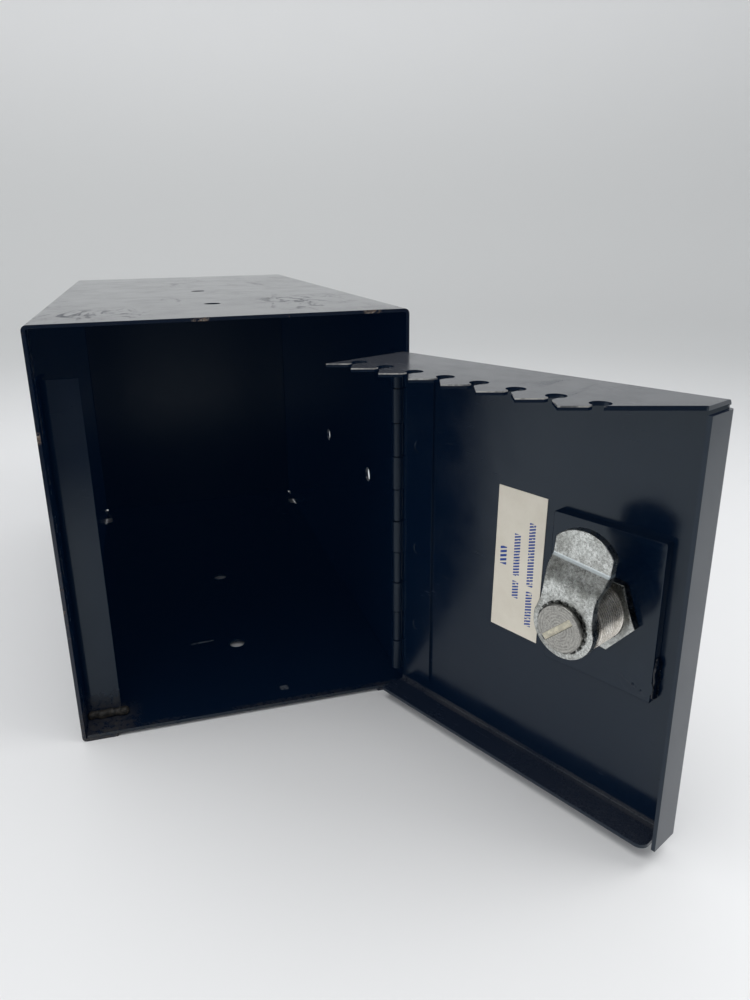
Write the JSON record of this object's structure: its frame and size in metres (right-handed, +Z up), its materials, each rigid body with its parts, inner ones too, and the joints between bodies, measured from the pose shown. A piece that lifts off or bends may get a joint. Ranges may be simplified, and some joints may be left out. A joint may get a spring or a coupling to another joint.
{
  "type": "breaker panel box",
  "caption": "Deep steel enclosure with a hinged door, a slotted wire comb along the door's top edge and a cam lock.",
  "frame": {"origin": "midway between the two floor holes, on the underside of the floor sheet", "axes": "+X to the hinge side as seen from the open front, +Y from the open front to the back, +Z up"},
  "size_m": [0.1746, 0.3637, 0.1524],
  "materials": {
    "enamel": "semi-gloss black baked enamel",
    "enamel_inner": "semi-gloss black enamel, thinner inside",
    "paper": "matt paper label with plain ruled marks",
    "nickel": "nickel-plated die casting",
    "zinc": "bright zinc plate, lightly mottled",
    "brass": "plain machined brass",
    "spring_steel": "drawn spring wire",
    "dark_steel": "dark oiled steel",
    "screw_steel": "turned steel, fine concentric marks"
  },
  "bodies": {
    "enclosure": {"body_wrap": "enamel", "floor_panel": "enamel_inner", "back_panel": "enamel_inner", "strike_angle": "enamel_inner", "strike_weld": "enamel_inner", "hinge_leaf_box": "enamel_inner", "hinge_pin": "dark_steel"},
    "door": {"door_panel": "enamel", "hinge_leaf_door": "enamel_inner", "label": "paper", "lock_plate": "enamel", "lock_plate_weld": "enamel", "lock_barrel": "nickel", "lock_nut": "zinc"},
    "lock_rotor": {"lock_plug": "brass", "lock_wafers": "brass", "wafer_springs": "spring_steel", "stop_washer": "zinc", "lock_cam": "zinc", "cam_lock_washer": "dark_steel", "cam_screw": "screw_steel"}
  },
  "joints": [
    {"name": "door_hinge", "type": "hinge", "parent": "enclosure", "child": "door", "pos_m": [0.0588, -0.0881, 0.07], "axis": [0, 0, 1], "range_deg": [-115.4, 2.5]},
    {"name": "lock_turn", "type": "hinge", "parent": "door", "child": "lock_rotor", "pos_m": [0.09638, -0.16723, 0.07085], "axis": [0.9033, 0.4289, 0], "range_deg": [-5.8, 84.2]}
  ]
}
